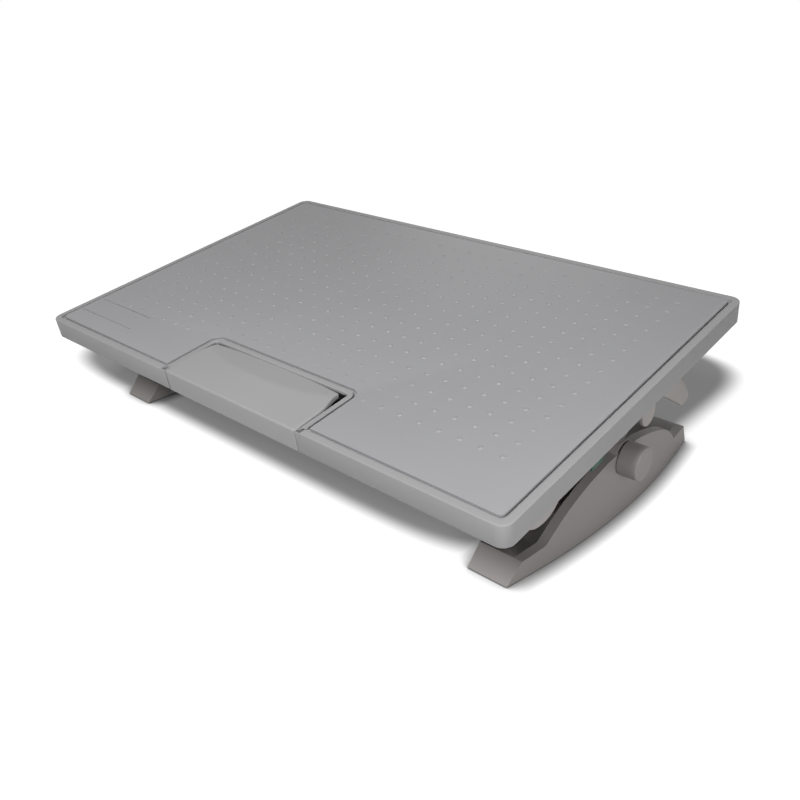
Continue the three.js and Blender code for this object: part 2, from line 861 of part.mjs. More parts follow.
// Slider: hub on the shaft, guide plate with windows, brake rib and a spigot for the beam
function slider() {
  const x0 = sliderPlateX;
  const x1 = sliderPlateX + sliderPlateThickness;
  const plate = prismX(
    roundedRect(-sliderHalfLength, -sliderBottom, sliderHalfLength, sliderTop, sliderCornerRadius),
    x0,
    x1,
    cornerSteps,
  );
  const windowY = (hubRadius + sliderHalfLength - grooveDepth) / 2;
  const windows = [-1, 1].map((side) => {
    const y0 = side * windowY - sliderWindowWidth / 2;
    const z0 = (sliderTop - sliderBottom - sliderWindowHeight) / 2;
    return prismX(
      roundedRect(
        y0,
        z0,
        y0 + sliderWindowWidth,
        z0 + sliderWindowHeight,
        sliderWindowRadius,
      ),
      x0 + sliderPlateThickness / 2,
      x1 + overrun,
      cornerSteps,
    );
  });
  const hub = rodX(hubRadius, hubInnerX, hubOuterX, 0, 0, midSides);
  const ribY = shoeFaceY - seatGap;
  const brakeRib = box(
    [x0 - brakeRibLength, ribY - brakeRibWidth, -sliderBottom],
    [x0 + sliderPlateThickness / 2, ribY, sliderTop],
  );
  const inside = beamWall + runningGap;
  const spigot = box(
    [x0 - spigotLength, beamSetback - beamDepth / 2 + inside, beamTop - beamHeight + inside],
    [x0 + sliderPlateThickness / 2, beamSetback + beamDepth / 2 - inside, beamTop - inside],
  );
  const bore = rodX(
    bushRadius + runningGap,
    hubInnerX - overrun,
    hubOuterX + overrun,
    0,
    0,
    midSides,
  );
  const seat = rodX(
    bushFlangeRadius + runningGap,
    hubInnerX - overrun,
    hubInnerX + bushFlange,
    0,
    0,
    midSides,
  );
  return cut(join(cut(plate, ...windows), hub, brakeRib, spigot), bore, seat);
}

function carriageBeam() {
  const half = sliderPlateX - seatGap;
  const y0 = beamSetback - beamDepth / 2;
  const y1 = beamSetback + beamDepth / 2;
  const z0 = beamTop - beamHeight;
  const outline = rect(y0, z0, y1, beamTop);
  const wall = beamWall;
  outline.holes.push(rect(y0 + wall, z0 + wall, y1 - wall, beamTop - wall));
  return prismX(outline, -half, half);
}

// Shaft, bush and washer, turned about the tilt axis
function crossShaft() {
  return turnedX([
    [shaftBore, -shaftHalfLength],
    [shaftBore, shaftHalfLength],
    [shaftRadius, shaftHalfLength],
    [shaftRadius, -shaftHalfLength],
    [shaftBore, -shaftHalfLength],
  ], midSides);
}

function bush() {
  const inner = shaftRadius + runningGap;
  return turnedX([
    [inner, hubInnerX],
    [inner, hubOuterX],
    [bushRadius, hubOuterX],
    [bushRadius, hubInnerX + bushFlange - seatGap],
    [bushFlangeRadius, hubInnerX + bushFlange - seatGap],
    [bushFlangeRadius, hubInnerX],
    [inner, hubInnerX],
  ], midSides);
}

function frictionWasher() {
  const inner = shaftRadius + runningGap;
  const x0 = hubOuterX + seatGap;
  const x1 = legInnerX - seatGap;
  return turnedX([
    [inner, x0],
    [inner, x1],
    [hubRadius, x1],
    [hubRadius, x0],
    [inner, x0],
  ], midSides);
}

// Leg outlines: two plans with the outer edge bowed, one with a straight and one with a bowed
// inner edge, then the arched side view and the low foot with its base plate
function bowedEdge(shape, x, rearwards) {
  const ends = rearwards ? [-legFrontReach, legRearReach] : [legRearReach, -legFrontReach];
  shape.lineTo(x, ends[0]);
  shape.quadraticCurveTo(x + 2 * legBow, bowMiddle, x, ends[1]);
}

function footPlan(inner, outer) {
  const shape = new THREE.Shape();
  shape.moveTo(inner, -legFrontReach - overrun);
  shape.lineTo(outer, -legFrontReach - overrun);
  bowedEdge(shape, outer, true);
  shape.lineTo(outer, legRearReach + overrun);
  shape.lineTo(inner, legRearReach + overrun);
  return shape;
}

function bandPlan(inner, outer) {
  const shape = new THREE.Shape();
  shape.moveTo(inner, -legFrontReach - overrun);
  shape.lineTo(outer, -legFrontReach - overrun);
  bowedEdge(shape, outer, true);
  shape.lineTo(outer, legRearReach + overrun);
  shape.lineTo(inner, legRearReach + overrun);
  bowedEdge(shape, inner, false);
  return shape;
}

function archSide(inset, bottom) {
  const slope = Math.atan2(toeHeight, toeRun);
  const toeY = (z) => inset / Math.sin(slope) + z / Math.tan(slope);
  const centreZ = archTopHeight - archRadius;
  const radius = archRadius - inset;
  const rise = archBaseHeight - inset - centreZ;
  const angle = Math.asin(rise / radius);
  const toeTop = toeHeight - inset;
  const shape = new THREE.Shape();
  shape.moveTo(toeY(bottom) - legFrontReach, bottom);
  shape.lineTo(toeY(toeTop) - legFrontReach, toeTop);
  shape.lineTo(archCentre - radius * Math.cos(angle), archBaseHeight - inset);
  shape.absarc(archCentre, centreZ, radius, Math.PI - angle, angle, true);
  shape.lineTo(legRearReach - toeY(toeTop), toeTop);
  shape.lineTo(legRearReach - toeY(bottom), bottom);
  return shape;
}

function footSide(inset, bottom) {
  const slope = Math.atan2(toeHeight, toeRun);
  const toeY = (z) => inset / Math.sin(slope) + z / Math.tan(slope);
  const toeTop = toeHeight - inset;
  const plateTop = basePlateHeight - inset;
  const flat = toeRun + toeTopLength;
  const shape = new THREE.Shape();
  shape.moveTo(toeY(bottom) - legFrontReach, bottom);
  shape.lineTo(toeY(toeTop) - legFrontReach, toeTop);
  shape.lineTo(flat - legFrontReach - inset / 2, toeTop);
  shape.lineTo(flat + footRampRun - legFrontReach - inset / 2, plateTop);
  shape.lineTo(legRearReach - flat - footRampRun + inset / 2, plateTop);
  shape.lineTo(legRearReach - flat + inset / 2, toeTop);
  shape.lineTo(legRearReach - toeY(toeTop), toeTop);
  shape.lineTo(legRearReach - toeY(bottom), bottom);
  return shape;
}

// Leg: bowed arch wall with a top band and ribs, hollow foot, and a hub for the shaft's end
function legRibs(near, far, floorZ) {
  const inner = legOuterX - archBandWidth + legRibSetback;
  const plan = bandPlan(inner, legOuterX - legSkin / 2);
  const room = prismZ(plan, floorZ - overrun, archTopHeight, bowSteps).intersect(
    prismX(archSide(legSkin / 2, floorZ), near, far, archSteps),
  );
  return legRibTurns.map((turn) => {
    const rib = new THREE.BoxGeometry(far - near, archRadius, legRibWidth);
    rib.translate((near + far) / 2, (archRadius + legHubRadius) / 2, 0);
    rib.rotateX(turn - Math.PI / 2);
    rib.translate(0, 0, tiltAxisHeight);
    return solid(rib).intersect(room);
  });
}

function legHubSupports() {
  const z0 = basePlateHeight - legSkin / 2;
  const web = box(
    [legInnerX + legSkin, -legSkin / 2, z0],
    [legFaceX - legSkin / 2, legSkin / 2, tiltAxisHeight - shaftRadius - legSkin],
  );
  const gusset = new THREE.Shape();
  gusset.moveTo(-2 * legHubRadius, z0);
  gusset.lineTo(2 * legHubRadius, z0);
  gusset.lineTo(legHubRadius / 2, tiltAxisHeight - legHubRadius / 2);
  gusset.lineTo(-legHubRadius / 2, tiltAxisHeight - legHubRadius / 2);
  const x0 = legInnerX + 3 * (legSkin / 2);
  return join(web, prismX(gusset, x0, x0 + legSkin));
}

function leg() {
  const floorZ = soleThickness + seatGap;
  const far = legOuterX + 3 * legBow;
  const near = legInnerX - overrun;
  const tall = [floorZ - overrun, archTopHeight + overrun];
  const skinX = legOuterX - legSkin;
  const bandX = legOuterX - archBandWidth;
  const arch = prismX(archSide(0, floorZ), near, far, archSteps);
  const foot = prismX(footSide(0, floorZ), near, far);
  const band = prismZ(bandPlan(bandX, legOuterX), ...tall, bowSteps).intersect(arch);
  const base = prismZ(footPlan(legInnerX, legOuterX), ...tall, bowSteps).intersect(foot);
  const archVoid = prismX(archSide(legSkin, floorZ), near, far, archSteps);
  const bandVoid = prismZ(bandPlan(bandX - overrun, skinX), ...tall, bowSteps);
  const recess = cut(bandVoid.intersect(archVoid), foot);
  const pocketPlan = prismZ(footPlan(legInnerX + legSkin, skinX), ...tall, bowSteps);
  const pocket = pocketPlan.intersect(prismX(footSide(legSkin, -overrun), near, far));
  const shell = cut(join(cut(join(band, base), recess), ...legRibs(near, far, floorZ)), pocket);
  const hub = rodX(legHubRadius, legInnerX, legFaceX - legSkin / 2, 0, tiltAxisHeight);
  const boreEnd = shaftHalfLength + seatGap;
  const bore = rodX(shaftRadius + seatGap, near, boreEnd, 0, tiltAxisHeight);
  const holeRadius = studRadius + studHoleGap;
  const studHole = rodX(holeRadius, near, far, 0, tiltAxisHeight, smallSides);
  return cut(join(shell, hub, legHubSupports()), bore, studHole);
}

// Sole: non-slip plate under the whole foot, with a key that fits up into the foot's pocket
function sole() {
  const far = legOuterX + 3 * legBow;
  const near = legInnerX - overrun;
  const edges = [legInnerX + soleInset, legOuterX - soleInset];
  const plateSide = rect(soleInset - legFrontReach, 0, legRearReach - soleInset, soleThickness);
  const plate = prismZ(footPlan(...edges), -overrun, soleThickness + overrun, bowSteps);
  const keyInset = legSkin + runningGap;
  const keyEnd = toeRun + keyInset;
  const keySide = rect(
    keyEnd - legFrontReach,
    soleThickness / 2,
    legRearReach - keyEnd,
    soleThickness + soleKeyHeight,
  );
  const keyPlan = footPlan(legInnerX + keyInset, legOuterX - keyInset);
  const key = prismZ(keyPlan, 0, basePlateHeight, bowSteps);
  return join(
    plate.intersect(prismX(plateSide, near, far)),
    key.intersect(prismX(keySide, near, far)),
  );
}

// Knob, hollow behind with a boss round its stud
function knob() {
  const x0 = knobX;
  const x1 = knobX + knobLength;
  const bore = studRadius + seatGap;
  const inside = knobRadius - knobWall;
  return turnedX([
    [bore, x0],
    [bore, x0 + studInKnob + seatGap],
    [0, x0 + studInKnob + seatGap],
    [0, x1],
    [knobRadius - knobEdge, x1],
    [knobRadius - knobEdge / 4, x1 - knobEdge / 4],
    [knobRadius, x1 - knobEdge],
    [knobRadius, x0],
    [inside, x0],
    [inside, x0 + knobHollow],
    [knobBossRadius, x0 + knobHollow],
    [knobBossRadius, x0],
    [bore, x0],
  ]);
}

function stud() {
  return rodX(studRadius, shaftHalfLength - studInShaft, knobX + studInKnob, 0, 0, smallSides);
}

// The left pieces are the right ones mirrored
function addPair(group, name, manifold, look) {
  addPiece(group, "right_" + name, manifold, look());
  addPiece(group, "left_" + name, mirrored(manifold), look());
}

// Stand: what stays on the floor
const stand = new THREE.Group();
addPair(stand, "leg", leg(), legPlastic);
addPair(stand, "sole", sole(), rubber);

// What is centred on the tilt axis but doesn't tilt
const axle = new THREE.Group();
axle.position.z = tiltAxisHeight;
addPiece(axle, "cross_shaft", crossShaft(), steel());
addPair(axle, "knob", knob(), legPlastic);
addPair(axle, "knob_stud", stud(), steel);

// What tilts, drawn level and turned to the rest tilt
const tilting = new THREE.Group();
tilting.position.z = tiltAxisHeight;
tilting.rotation.x = THREE.MathUtils.degToRad(restTiltDegrees);
addPair(tilting, "slider", slider(), legPlastic);
addPair(tilting, "hub_bush", bush(), acetal);
addPair(tilting, "friction_washer", frictionWasher(), acetal);
addPiece(tilting, "carriage_beam", carriageBeam(), steel());
addPiece(tilting, "deck_frame", deckFrame(), deckPlastic());
addPiece(tilting, "top_panel", topPanel(), panelPlastic());
addPair(tilting, "guide_bracket", guideBracket(), legPlastic);
addPair(tilting, "side_rail", sideRail(), legPlastic);
addPair(tilting, "height_mark", heightMark(), markGreen);
bracketScrewPlaces(1).forEach((place, i) =>
  addPair(tilting, "bracket_screw_" + (i + 1), bracketScrew(place), steel),
);
addPiece(tilting, "pedal", pedal(), deckPlastic());
const hingeRodHalf = openingHalf + skirtWall;
const hingeRod = rodX(hingeRodRadius, -hingeRodHalf, hingeRodHalf, hingeY, hingeZ, smallSides);
addPiece(tilting, "pedal_hinge_rod", hingeRod, steel());
for (const side of [-1, 1]) {
  const spring = new THREE.Mesh(torsionSpring(), steel());
  spring.name = (side > 0 ? "right" : "left") + "_pedal_spring";
  spring.position.set(side * springX, hingeY, hingeZ);
  tilting.add(spring);
}
const barHalf = sliderPlateX - barToSlider;
addPiece(
  tilting,
  "brake_bar",
  rodX(brakeBarRadius, -barHalf, barHalf, -brakeBarSetback, brakeBarZ, smallSides),
  steel(),
);
addPair(tilting, "push_rod", pushRod(), steel);
addPair(tilting, "brake_shoe", brakeShoe(), rubber);

// The frame's origin is on the floor, at the middle of the whole footrest
const footrest = new THREE.Group();
footrest.add(stand, axle, tilting);
footrest.updateMatrixWorld(true);
const bounds = new THREE.Box3().setFromObject(footrest, true);
footrest.position.y = -(bounds.min.y + bounds.max.y) / 2;

const model = new THREE.Group();
model.add(footrest);

export default model;
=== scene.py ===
# %% [markdown]
# # A tilting footrest for under a desk
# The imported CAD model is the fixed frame: every piece below takes its place from it and rides
# on one of its bodies, so the deck still tilts and sinks and the pedal still moves. We model
# in millimetres, in the deck's own level space or the floor's, and a matrix carries each
# finished mesh to its place in metres.

# %% Load the frame
import json
import math

import bmesh
import bpy
from mathutils import Matrix, Vector


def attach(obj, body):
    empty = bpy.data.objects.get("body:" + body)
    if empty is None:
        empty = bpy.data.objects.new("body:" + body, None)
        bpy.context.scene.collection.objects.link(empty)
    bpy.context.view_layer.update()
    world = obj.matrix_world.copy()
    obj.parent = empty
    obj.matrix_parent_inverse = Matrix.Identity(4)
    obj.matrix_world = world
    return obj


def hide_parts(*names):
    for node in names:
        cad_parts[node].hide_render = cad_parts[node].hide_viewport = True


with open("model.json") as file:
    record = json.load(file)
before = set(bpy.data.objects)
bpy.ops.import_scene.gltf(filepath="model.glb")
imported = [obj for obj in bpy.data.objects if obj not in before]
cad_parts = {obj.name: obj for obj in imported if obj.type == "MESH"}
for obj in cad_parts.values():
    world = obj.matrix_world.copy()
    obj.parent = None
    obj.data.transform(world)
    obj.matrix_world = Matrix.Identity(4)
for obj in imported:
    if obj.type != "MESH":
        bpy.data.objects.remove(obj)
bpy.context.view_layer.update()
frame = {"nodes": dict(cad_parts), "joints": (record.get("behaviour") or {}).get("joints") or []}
joints = {joint["name"]: joint for joint in frame["joints"]}
tilt_axis = Vector(joints["deck_tilt"]["pos_m"])
lift = Vector(joints["deck_height"]["axis"])
rest_tilt = math.atan2(-lift.y, lift.z)
mm = Matrix.Scale(0.001, 4)
axle_space = Matrix.Translation(tilt_axis) @ mm
deck_space = Matrix.Translation(tilt_axis) @ Matrix.Rotation(rest_tilt, 4, "X") @ mm
print("frame:", len(frame["nodes"]), "nodes, tilt", round(math.degrees(rest_tilt), 2))

# %% [markdown]
# The photographer stood to the front right, about 26 degrees above the floor. The lens is a
# normal one of 38 mm. The camera is made first, because everything else is judged through it.

# %% Camera
camera = bpy.data.objects.new("camera", bpy.data.cameras.new("camera"))
bpy.context.scene.collection.objects.link(camera)
camera.data.sensor_width = 36
camera.data.lens = 38.3
camera.location = (0.5221, -0.5507, 0.4036)
azimuth, elevation = math.radians(41.506), math.radians(26.315)
back = Vector((
    math.sin(azimuth) * math.cos(elevation),
    -math.cos(azimuth) * math.cos(elevation),
    math.sin(elevation),
))
camera.rotation_euler = (-back).to_track_quat("-Z", "Y").to_euler()
bpy.context.scene.camera = camera
print("camera:", [round(x, 3) for x in camera.location])

# %% [markdown]
# One function turns the hex colours of a paint card into Blender's linear values, and one
# adds a shader node with its settings and links. Every material below is written with them.

# %% Colour and node helpers
def linear(hex_colour):
    parts = [int(hex_colour[i:i + 2], 16) / 255 for i in (1, 3, 5)]
    return [p / 12.92 if p < 0.04045 else ((p + 0.055) / 1.055) ** 2.4 for p in parts] + [1]


def shaded(colour, share):
    return [channel * share for channel in linear(colour)[:3]] + [1]


def add_node(tree, kind, settings=None, links=None):
    node = tree.nodes.new("ShaderNode" + kind)
    for name, value in (settings or {}).items():
        if isinstance(name, int) or name in node.inputs:
            node.inputs[name].default_value = value
        else:
            setattr(node, name, value)
    for name, socket in (links or {}).items():
        tree.links.new(socket, node.inputs[name])
    return node


def new_material(name):
    material = bpy.data.materials.new(name)
    material.use_nodes = True
    material.node_tree.nodes.clear()
    return material, material.node_tree


print("colour: #808080 is", round(linear("#808080")[0], 3), "in linear light")

# %% [markdown]
# The plastics, the steel and the rubber are built from the same parts. Noise makes a tint
# waver between two colours, spreads the roughness over a small range and raises a fine
# relief. An image could do this too, but noise on Object coordinates has no seams and needs
# no unwrapping.

# %% Parts of a procedural material
def object_coords(tree):
    return add_node(tree, "TexCoord").outputs["Object"]


def noise(tree, coords, scale, detail, roughness=0.5):
    return add_node(
        tree, "TexNoise", {"Scale": scale, "Detail": detail, "Roughness": roughness},
        {"Vector": coords},
    ).outputs["Fac"]


def tint(tree, share, dark, light):
    ramp = add_node(tree, "ValToRGB", {}, {"Fac": share})
    ramp.color_ramp.elements[0].color = dark
    ramp.color_ramp.elements[1].color = light
    return ramp.outputs["Color"]


def spread(tree, share, low, high):
    return add_node(
        tree, "MapRange", {"To Min": low, "To Max": high}, {"Value": share},
    ).outputs["Result"]


def relief(tree, height, strength, depth_mm):
    return add_node(
        tree, "Bump", {"Strength": strength, "Distance": depth_mm / 1000}, {"Height": height},
    ).outputs["Normal"]


def set_surface(tree, settings, links):
    surface = add_node(tree, "BsdfPrincipled", settings, links).outputs["BSDF"]
    add_node(tree, "OutputMaterial", {}, {"Surface": surface})


print("material parts: noise, tint, spread and relief")

# %% [markdown]
# The deck, its top plate, the pedal and the legs are injection-moulded polypropylene. The
# mould's face was spark-eroded, so the grey surface has a fine pebbled grain and a soft, wide
# highlight. The real grain is about 0.4 mm wide, too fine to show from here, so it is drawn
# three to four times coarser. Acetal and the green marks are smoother.

# %% Moulded plastic
def moulded_plastic(name, colour, roughness, grain_mm, relief_mm, mottle):
    material, tree = new_material(name)
    coords = object_coords(tree)
    grain = noise(tree, coords, 1000 / grain_mm, 3, roughness=0.6)
    clouds = noise(tree, coords, 14, 4)
    dark, light = shaded(colour, 1 - mottle), shaded(colour, 1 + mottle)
    set_surface(tree, {"IOR": 1.49, "Specular IOR Level": 0.3}, {
        "Base Color": tint(tree, clouds, dark, light),
        "Roughness": spread(tree, grain, roughness - 0.06, roughness + 0.06),
        "Normal": relief(tree, grain, 0.5, relief_mm),
    })
    print("material:", name, colour)
    return material


deck_plastic = moulded_plastic("deck_polypropylene", "#a6a5a6", 0.55, 1.4, 0.05, 0.03)
panel_plastic = moulded_plastic("top_plate_polypropylene", "#a3a3a5", 0.5, 1.6, 0.07, 0.035)
leg_plastic = moulded_plastic("leg_polypropylene", "#9c9795", 0.55, 1.2, 0.05, 0.03)
rail_plastic = moulded_plastic("rail_polypropylene", "#b2adaa", 0.55, 1.2, 0.05, 0.03)
acetal = moulded_plastic("natural_acetal", "#d8d6d0", 0.4, 0.8, 0.02, 0.01)
# The marks' green is darker than their own colour: painted shade for the shade they hang in.
mark_green_with_painted_shade = moulded_plastic("green_abs_with_painted_shade", "#0a4a30", 0.5, 0.8, 0.01, 0.02)

# %% [markdown]
# The shaft, beam, rods, springs and screws are zinc-plated steel: a grey metal with a fine
# drawn grain along its length and a slightly uneven, cloudy shine. The noise is stretched
# along X with a Mapping node, which is the way the bars lie.

# %% Zinc-plated steel
def plated_steel():
    material, tree = new_material("zinc_plated_steel")
    coords = object_coords(tree)
    stretched = add_node(
        tree, "Mapping", {"Scale": (40, 1500, 1500)}, {"Vector": coords},
    ).outputs["Vector"]
    drawn = noise(tree, stretched, 1, 2)
    clouds = noise(tree, coords, 120, 3)
    set_surface(tree, {"Metallic": 1}, {
        "Base Color": tint(tree, clouds, shaded("#a8aaad", 0.88), shaded("#b4b5b6", 1.05)),
        "Roughness": spread(tree, drawn, 0.24, 0.42),
        "Normal": relief(tree, drawn, 0.3, 0.02),
    })
    return material


steel = plated_steel()
print("material:", steel.name)

# %% [markdown]
# Soles and brake shoes are black thermoplastic rubber, matt and a little dusty where it meets
# the floor. A broad noise lightens it in patches, as dust does.

# %% Rubber
def dusty_rubber():
    material, tree = new_material("thermoplastic_rubber")
    coords = object_coords(tree)
    dust = noise(tree, coords, 60, 5)
    grain = noise(tree, coords, 900, 2)
    set_surface(tree, {"Roughness": 0.8, "IOR": 1.5}, {
        "Base Color": tint(tree, dust, linear("#1c1c1d"), linear("#2d2c2c")),
        "Normal": relief(tree, grain, 0.5, 0.08),
    })
    return material


rubber = dusty_rubber()
print("material:", rubber.name)

# %% [markdown]
# A studio shot on white. The floor is a pale matt sheet. To the camera and in reflections it
# also glows, so it runs into pure white without any more light on the object. The glow is weak
# inside a patch under the footrest, which is a painted shadow: a box with rounded corners, drawn
# with the sum of eighth powers, whose edge fades out over a short way. The lamps' real shadow
# shows only inside it, so the shadow's dark tone and outline are partly painted. The patch is
# placed for the photograph's view. Beside the feet an ambient occlusion node takes the glow
# away, which paints a thin dark line of contact shade.

# %% Floor: glow, painted shadow and contact shade
# The patch of weak glow under the footrest is a painted shadow.
painted_shadow_middle, painted_shadow_half, painted_shadow_glow, painted_shadow_fade = (-0.088, 0.14), (0.308, 0.246), 0.16, 0.1
contact_reach, contact_power = 0.016, 3


def background_rays(tree):
    rays = add_node(tree, "LightPath").outputs
    share = rays["Is Camera Ray"]
    for kind in ("Is Glossy Ray", "Is Transmission Ray"):
        share = add_node(
            tree, "Math", {"operation": "MAXIMUM"}, {0: share, 1: rays[kind]},
        ).outputs["Value"]
    return share


# The glow drops to its low level inside the patch: this is the painted shadow.
def glow_with_painted_shadow(tree):
    patch = add_node(
        tree, "VectorMath", {"operation": "SUBTRACT", 1: (*painted_shadow_middle, 0)},
        {0: object_coords(tree)},
    ).outputs["Vector"]
    patch = add_node(
        tree, "VectorMath", {"operation": "DIVIDE", 1: (*painted_shadow_half, 1)}, {0: patch},
    ).outputs["Vector"]
    squarings = 3
    for _ in range(squarings):
        patch = add_node(
            tree, "VectorMath", {"operation": "MULTIPLY"}, {0: patch, 1: patch},
        ).outputs["Vector"]
    reach = add_node(
        tree, "VectorMath", {"operation": "DOT_PRODUCT", 1: (1, 1, 0)}, {0: patch},
    ).outputs["Value"]
    reach = add_node(
        tree, "Math", {"operation": "POWER", 1: 0.5 ** squarings}, {0: reach},
    ).outputs["Value"]
    ramp_end = 2
    share = add_node(
        tree, "MapRange", {"From Max": ramp_end}, {"Value": reach},
    ).outputs["Result"]
    ramp = add_node(tree, "ValToRGB", {}, {"Fac": share})
    ramp.color_ramp.interpolation = "EASE"
    stops = ramp.color_ramp.elements
    stops[0].position = 1 / ramp_end
    stops[0].color = (painted_shadow_glow, painted_shadow_glow, painted_shadow_glow, 1)
    stops[1].position = (1 + painted_shadow_fade) / ramp_end
    stops[1].color = (1, 1, 1, 1)
    return ramp.outputs["Color"]


# Ambient occlusion takes the glow away beside the feet: painted contact shade.
def contact_shade(tree, glow):
    open_share = add_node(
        tree, "AmbientOcclusion", {"Distance": contact_reach},
    ).outputs["AO"]
    open_share = add_node(
        tree, "Math", {"operation": "POWER", 1: contact_power}, {0: open_share},
    ).outputs["Value"]
    return add_node(
        tree, "Math", {"operation": "MULTIPLY"}, {0: glow, 1: open_share},
    ).outputs["Value"]


print("floor patch:", [2 * half for half in painted_shadow_half], "m")

# %% [markdown]
# A Mix Shader gives the floor its two faces: plain paper for the light that it sends back up
# to the footrest, and the glowing one for the rays that show it.

# %% Floor
def studio_floor():
    material, tree = new_material("studio_paper_painted_shadow")
    strength = contact_shade(tree, glow_with_painted_shadow(tree))
    bouncing = add_node(tree, "BsdfDiffuse", {"Color": linear("#9a9a9a")}).outputs["BSDF"]
    # The paper shown to the camera is darker than the bouncing one, which deepens the painted
    # shadow.
    shown = add_node(tree, "BsdfDiffuse", {"Color": linear("#7c7c7c")}).outputs["BSDF"]
    light = add_node(
        tree, "Emission", {"Color": (1, 1, 1, 1)}, {"Strength": strength},
    ).outputs["Emission"]
    glowing = add_node(tree, "AddShader", {}, {0: shown, 1: light}).outputs["Shader"]
    mixed = add_node(
        tree, "MixShader", {}, {0: background_rays(tree), 1: bouncing, 2: glowing},
    ).outputs["Shader"]
    add_node(tree, "OutputMaterial", {}, {"Surface": mixed})
    shape = bmesh.new()
    bmesh.ops.create_grid(shape, x_segments=1, y_segments=1, size=8)
    mesh = bpy.data.meshes.new("studio_floor")
    shape.to_mesh(mesh)
    shape.free()
    mesh.materials.append(material)
    floor = bpy.data.objects.new("studio_floor", mesh)
    bpy.context.scene.collection.objects.link(floor)
    print("floor:", material.name)


studio_floor()

# %% [markdown]
# The world is white to the same rays, so the background has no horizon. It sheds very little
# light of its own, because an even light from all sides would flatten the forms.

# %% World
def white_world(level):
    world = bpy.data.worlds.new("studio")
    bpy.context.scene.world = world
    world.use_nodes = True
    tree = world.node_tree
    tree.nodes.clear()
    strength = spread(tree, background_rays(tree), level, 1)
    sky = add_node(
        tree, "Background", {"Color": (1, 1, 1, 1)}, {"Strength": strength},
    ).outputs["Background"]
    add_node(tree, "OutputWorld", {}, {"Surface": sky})
    bpy.context.scene.view_settings.view_transform = "Standard"
    print("world level:", level)


white_world(0.03)

# %% [markdown]
# The key light is a soft box in front, 45 degrees up, which lights the top and the front skirt
# alike and leaves the legs dark under the deck's edge. A weak one above the right side and a
# weak one low in front open the shadows a little. One at the right shows the side skirt and
# the leg, and one at the rear left does so for the sides that the camera doesn't see.

# %% Lamps
def soft_box(name, place, aim, size, power):
    lamp = bpy.data.lights.new(name, "AREA")
    lamp.shape = "RECTANGLE"
    lamp.size, lamp.size_y = size
    lamp.energy = power
    holder = bpy.data.objects.new(name, lamp)
    bpy.context.scene.collection.objects.link(holder)
    holder.location = place
    towards = Vector(aim) - Vector(place)
    holder.rotation_euler = towards.to_track_quat("-Z", "Y").to_euler()
    print("lamp:", name, power, "W")


soft_box("top_box", (0.4, -0.1, 0.85), (0.05, -0.02, 0.1), (0.35, 0.35), 0.4)
soft_box("key_box", (0.2, -0.95, 1.0), (0.05, 0, 0.08), (0.4, 0.4), 12.8)
soft_box("low_box", (-0.3, -1.8, 0.35), (0, 0, 0.08), (0.9, 0.4), 0.4)
soft_box("right_box", (0.95, -0.42, 0.35), (0.27, -0.02, 0.08), (0.4, 0.3), 3.4)
soft_box("rear_box", (-0.7, 1.2, 0.6), (0, 0, 0.08), (0.6, 0.4), 1.2)

# %% [markdown]
# Every piece is finished in the same way: its faces are turned outwards, the mesh is carried
# into place, and shading is smooth except across sharp corners. Then the piece says which CAD
# node it stands for and which body it rides on.

# %% Finish a piece
sharp_degrees = 32


def finish_piece(node, shape, space, body, material, sharp=sharp_degrees):
    name = node + "_look"
    bmesh.ops.recalc_face_normals(shape, faces=shape.faces)
    shape.transform(space)
    mesh = bpy.data.meshes.new(name)
    shape.to_mesh(mesh)
    shape.free()
    mesh.polygons.foreach_set("use_smooth", [True] * len(mesh.polygons))
    mesh.set_sharp_from_angle(angle=math.radians(sharp))
    mesh.materials.append(material)
    piece = bpy.data.objects.new(name, mesh)
    bpy.context.scene.collection.objects.link(piece)
    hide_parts(node)
    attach(piece, body)
    print("piece:", name, len(mesh.polygons), "faces")


print("corners over", sharp_degrees, "degrees stay sharp")

# %% [markdown]
# A real moulding has no knife edges: each corner is eased by a fraction of a millimetre, and
# that thin line of light is what makes it look real. For the rails, the brake and the guides
# under the deck, whose CAD form is already right, a copy of the CAD mesh is merged, its flat
# faces are joined up, and its sharp edges are bevelled. Modelling them again would only risk
# that they no longer fit.

# %% Ease the edges of a CAD form
def is_sharp(edge, angle):
    return len(edge.link_faces) == 2 and edge.calc_face_angle() > angle


def round_edges(shape, edges, radius, segments):
    bmesh.ops.bevel(
        shape, geom=edges, offset=radius, offset_type="OFFSET", segments=segments,
        profile=0.5, affect="EDGES", clamp_overlap=True, material=-1,
    )


def join_flat_faces(shape):
    bmesh.ops.dissolve_limit(
        shape, angle_limit=math.radians(0.5), verts=shape.verts, edges=shape.edges,
    )


def cad_copy(node):
    shape = bmesh.new()
    shape.from_mesh(frame["nodes"][node].data)
    bmesh.ops.scale(shape, verts=shape.verts, vec=(1000, 1000, 1000))
    bmesh.ops.remove_doubles(shape, verts=shape.verts, dist=0.002)
    join_flat_faces(shape)
    return shape


def eased_copy(node, ease_mm):
    shape = cad_copy(node)
    sharp_edges = [edge for edge in shape.edges if is_sharp(edge, math.radians(sharp_degrees))]
    round_edges(shape, sharp_edges, ease_mm, 2)
    return shape


sides = ((1, "right_"), (-1, "left_"))
eased = {
    "slider": ("carriage", "leg_plastic", leg_plastic, 0.3),
    "guide_bracket": ("deck", "leg_plastic", leg_plastic, 0.3),
    "side_rail": ("deck", "leg_plastic", rail_plastic, 0.4),
    "push_rod": ("brake", "steel", steel, 0.2),
    "brake_shoe": ("brake", "sole_rubber", rubber, 0.3),
}
for part, (body, slot, material, ease_mm) in eased.items():
    for _, label in sides:
        finish_piece(label + part, eased_copy(label + part, ease_mm), mm, body, material)

